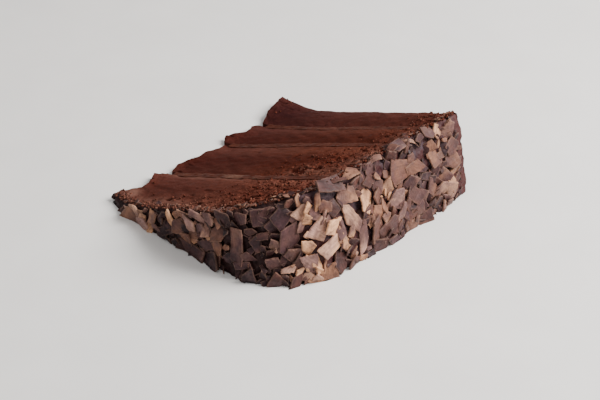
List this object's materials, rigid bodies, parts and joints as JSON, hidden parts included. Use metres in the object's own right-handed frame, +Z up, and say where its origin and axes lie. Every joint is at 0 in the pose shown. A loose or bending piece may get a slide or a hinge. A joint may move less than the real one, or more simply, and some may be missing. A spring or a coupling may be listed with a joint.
{
  "type": "slice of chocolate cake",
  "caption": "Layered chocolate sponge slice lying on a cut face, with cream fillings and frosting covered in chocolate flakes on its top and side.",
  "frame": {"origin": "on the resting plane, under the middle of the bounding box", "axes": "+X from the slice's tip out to the cake's side, +Y from the cake's top to its underside, +Z up from the cut face it lies on"},
  "size_m": [0.1152, 0.1196, 0.0397],
  "materials": {
    "chocolate_sponge": "dry porous dark chocolate crumb, reddish brown",
    "chocolate_cream": "soft chocolate cream, slightly lighter and smoother than the crumb",
    "frosting_with_flakes": "dark semi-gloss chocolate frosting covered in tan to dark brown chocolate flakes"
  },
  "bodies": {
    "root": {"sponge_1": "chocolate_sponge", "sponge_2": "chocolate_sponge", "sponge_3": "chocolate_sponge", "sponge_4": "chocolate_sponge", "filling_1": "chocolate_cream", "filling_2": "chocolate_cream", "filling_3": "chocolate_cream", "frosting_coat": "frosting_with_flakes"}
  },
  "joints": []
}
